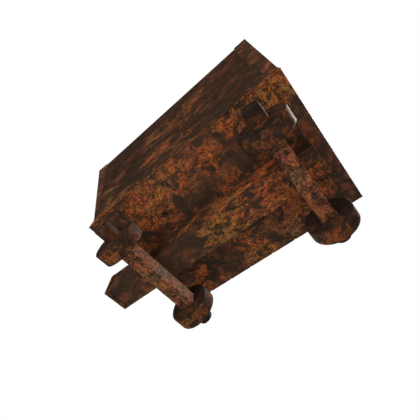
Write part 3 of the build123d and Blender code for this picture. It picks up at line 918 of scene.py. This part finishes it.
for node, (thin_axis, finish, dent_depth) in plates.items():
    panel = copy_part(node, "worn_" + node)
    soften(panel, plate_edge)
    for axis in range(3):
        if "XYZ"[axis] != thin_axis:
            cut_rings(panel, axis, plate_pitch)
    pit(panel, dent_depth, dent_size, plate_freedom(node), thin_axis, both_ways)
    pit(panel, scab_depth, scab_size)
    settle(panel, finish, node)

# %% [markdown]
# ## Frames, sill and angles
# The crossbars are heavy hollow bars, the posts are channels, and the sill is a box under the whole
# length. Hot rolling leaves corners with a radius of a few millimetres, and rust takes the faces down
# unevenly.

# %% Rolled sections
corner_ends = [f"{end_name}_{side_name}" for end_name in ends for side_name in sides]
section_kinds = [
    ([f"crossbar_{end_name}" for end_name in ends], frame_rust, 0.005, 0.030, 0.0024),
    (["crossbar_caps"], frame_rust, 0.0015, None, None),
    ([f"post_{corner}" for corner in corner_ends], frame_rust, 0.0025, 0.030, 0.0016),
    ([f"top_rail_{end_name}" for end_name in ends], frame_rust, 0.0025, 0.030, 0.0016),
    ([f"rim_bar_{side_name}" for side_name in sides], frame_rust, 0.003, 0.040, 0.0016),
    ([f"side_angle_{side_name}" for side_name in sides], frame_rust, 0.0015, None, None),
    ([f"end_angle_{end_name}" for end_name in ends], frame_rust, 0.0015, None, None),
    (["centre_sill"], sill_rust, 0.006, 0.022, 0.0028),
    (["sill_cap"], sill_rust, 0.0012, 0.022, 0.0012),
    (["buffer_plate"], sill_rust, 0.004, 0.018, 0.0022),
    ([f"axle_seat_{end_name}" for end_name in ends], sill_rust, 0.002, 0.020, 0.0010),
]
pit_size = 0.030
for members, finish, corner_radius, pitch, pit_depth in section_kinds:
    for node in members:
        bar = copy_part(node, "worn_" + node)
        soften(bar, corner_radius)
        if pitch:
            for axis in range(3):
                cut_rings(bar, axis, pitch)
            pit(bar, pit_depth, pit_size)
        settle(bar, finish, node)

# %% [markdown]
# ## Axles
# Each axle is a square forged bar, fixed to the cart, whose round ends carry the wheels. Only the square
# part is pitted: the bushes of the wheels turn on the ends, so those stay true.

# %% Forged bars with true ends
inner_face = min(abs(corner.y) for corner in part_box("wheel_front_left"))
for end_name in ends:
    node = "axle_" + end_name
    bar = copy_part(node, "worn_" + node)
    soften(bar, 0.004)
    for axis, pitch in ((0, 0.017), (2, 0.017), (1, 0.020)):
        cut_rings(bar, axis, pitch)
    centre = sum(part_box(node), Vector()) / 2

    def on_the_bar(point):
        off = max(abs(point.x - centre.x), abs(point.z - centre.z))
        return ease(inner_face - 0.006 - abs(point.y), 0.0, 0.02) * ease(off, 0.03, 0.04)

    pit(bar, 0.0034, 0.028, on_the_bar)
    settle(bar, axle_rust, node)
    running_gear.objects.link(bar)

# %% [markdown]
# ## Cast wheels
# The wheels are plain cast discs with a long closed hub. Sand casting leaves a skin that is never quite
# flat, and years of running have left the tread the smoothest part. So the pits go deep on the faces of
# the disc and the hub, shallow on the tread, and not at all in the bore, because the bushes sit in it.

# %% Discs with worn treads and pitted faces
for corner in corner_ends:
    node = "wheel_" + corner
    disc = copy_part(node, "worn_" + node)
    soften(disc, 0.002)
    for axis in (0, 2, 1):
        cut_rings(disc, axis, 0.020)
    centre = sum(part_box(node), Vector()) / 2
    radius = (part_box(node)[1].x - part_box(node)[0].x) / 2

    def on_the_casting(point):
        off = ((point.x - centre.x) ** 2 + (point.z - centre.z) ** 2) ** 0.5
        outside_bore = ease(off, 0.0435, 0.0465)
        on_tread = ease(off, radius - 0.012, radius - 0.002)
        return outside_bore * (1 - 0.7 * on_tread)

    pit(disc, 0.0022, 0.030, on_the_casting)
    pit(disc, 0.0015, 0.090, on_the_casting)
    settle(disc, wheel_rust, node)
    running_gear.objects.link(disc)
    cap = copy_part("hub_cap_" + corner, "worn_hub_cap_" + corner)
    soften(cap, 0.0015)
    settle(cap, wheel_rust, "hub_cap_" + corner)

# %% [markdown]
# ## Weld beads
# Where two parts are welded, a bead of ripples fills the corner. A bead is a thin cylinder laid along the
# seam and cut into many rings; every ring is swollen or drawn in a little, which leaves the ripples. Long
# seams on old wagons are stitched: a short bead, a gap, and a short bead again.

# %% Tools for weld beads
ring_pitch = 0.0028
ripple_pitch = 0.0062


def lay_bead(start_point, end_point, radius):
    """One weld bead between two points."""
    start_point, end_point = Vector(start_point), Vector(end_point)
    along = end_point - start_point
    length = along.length
    clear_selection()
    bpy.ops.mesh.primitive_cylinder_add(
        vertices=8,
        radius=radius,
        depth=length,
        end_fill_type="TRIFAN",
        location=(start_point + end_point) / 2,
        rotation=along.to_track_quat("Z", "Y").to_euler(),
    )
    bead = bpy.context.object
    bpy.ops.object.transform_apply(location=True, rotation=True, scale=True)
    direction = along / length
    bpy.ops.object.mode_set(mode="EDIT")
    bpy.ops.mesh.select_mode(type="EDGE")
    bpy.ops.mesh.select_all(action="DESELECT")
    bpy.ops.object.mode_set(mode="OBJECT")
    for edge in bead.data.edges:
        p, q = (bead.data.vertices[i].co for i in edge.vertices)
        edge.select = abs((q - p).dot(direction)) > 0.9 * length
    bpy.ops.object.mode_set(mode="EDIT")
    rings = max(3, int(length / ring_pitch))
    bpy.ops.mesh.subdivide(number_cuts=min(rings, 400))
    bpy.ops.object.mode_set(mode="OBJECT")
    for vertex in bead.data.vertices:
        t = (vertex.co - start_point).dot(direction)
        core = start_point + direction * t
        ripple = 0.86 + 0.26 * abs(sin(pi * t / ripple_pitch)) + 0.22 * noise.noise(core * 90.0)
        taper = ease(min(t, length - t), -0.002, 0.006)
        vertex.co = core + (vertex.co - core) * ripple * (0.35 + 0.65 * taper)
    return bead


def join_beads(beads, title):
    """Joins beads into one piece that rides on the body of the cart."""
    clear_selection()
    for bead in beads:
        bead.select_set(True)
    bpy.context.view_layer.objects.active = beads[0]
    bpy.ops.object.join()
    seam = bpy.context.object
    seam.name = title
    seam.data.name = title
    bpy.ops.object.shade_smooth_by_angle(angle=radians(60))
    seam.data.materials.clear()
    seam.data.materials.append(weld_rust)
    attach(seam, "chassis")
    print(title, "has", len(beads), "beads and", len(seam.data.polygons), "faces")


def stitches(first, last, y, z, length, pitch, radius):
    """A row of short beads along the cart, while they start before the last place."""
    row = []
    x = first
    while x < last:
        row.append(lay_bead((x, y, z), (x + length, y, z), radius))
        x += pitch
    return row


# %% Beads on the sill, the posts and the floor
rear_low, rear_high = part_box("crossbar_rear")
post_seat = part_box("crossbar_front")[1].z
bare_end = 0.004
beads = []
seam_z = underside - 0.001
buffer_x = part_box("buffer_plate")[1].x + 0.001
for hand in (-1, 1):
    y = hand * (sill_high.y + 0.001)
    beads.append(lay_bead((rear_low.x + bare_end, y, seam_z), (rear_high.x - bare_end, y, seam_z), 0.0045))
    beads += stitches(floor_low.x + 0.09, floor_high.x - 0.1, y, underside - 0.0005, 0.07, 0.19, 0.004)
    beads.append(lay_bead((buffer_x, y, sill_low.z + 0.008), (buffer_x, y, sill_high.z - 0.008), 0.0045))
for z in (sill_low.z - 0.001, sill_high.z + 0.001):
    beads.append(lay_bead((buffer_x, sill_low.y + 0.008, z), (buffer_x, sill_high.y - 0.008, z), 0.0045))
join_beads(beads, "sill_welds")

beads = []
bead_inset = 0.0015
outer_line = 0.42
foot_z = post_seat + bead_inset
for corner in corner_ends:
    foot = [v.co for v in nodes["post_" + corner].data.vertices if v.co.z < post_seat + 0.004]
    foot_low, foot_high = ([pick(p[i] for p in foot) for i in range(3)] for pick in (min, max))
    for y in (foot_low[1], foot_high[1]):
        if abs(y) > outer_line:
            y -= bead_inset if y > 0 else -bead_inset
        rear_point = (foot_low[0] + bare_end, y, foot_z)
        front_point = (foot_high[0] - bare_end, y, foot_z)
        beads.append(lay_bead(rear_point, front_point, 0.004))
join_beads(beads, "post_welds")

beads = []
for hand in (-1, 1):
    y = hand * (floor_high.y - 0.0008)
    beads += stitches(floor_low.x + 0.01, floor_high.x - 0.06, y, underside + 0.001, 0.16, 0.17, 0.003)
join_beads(beads, "floor_welds")
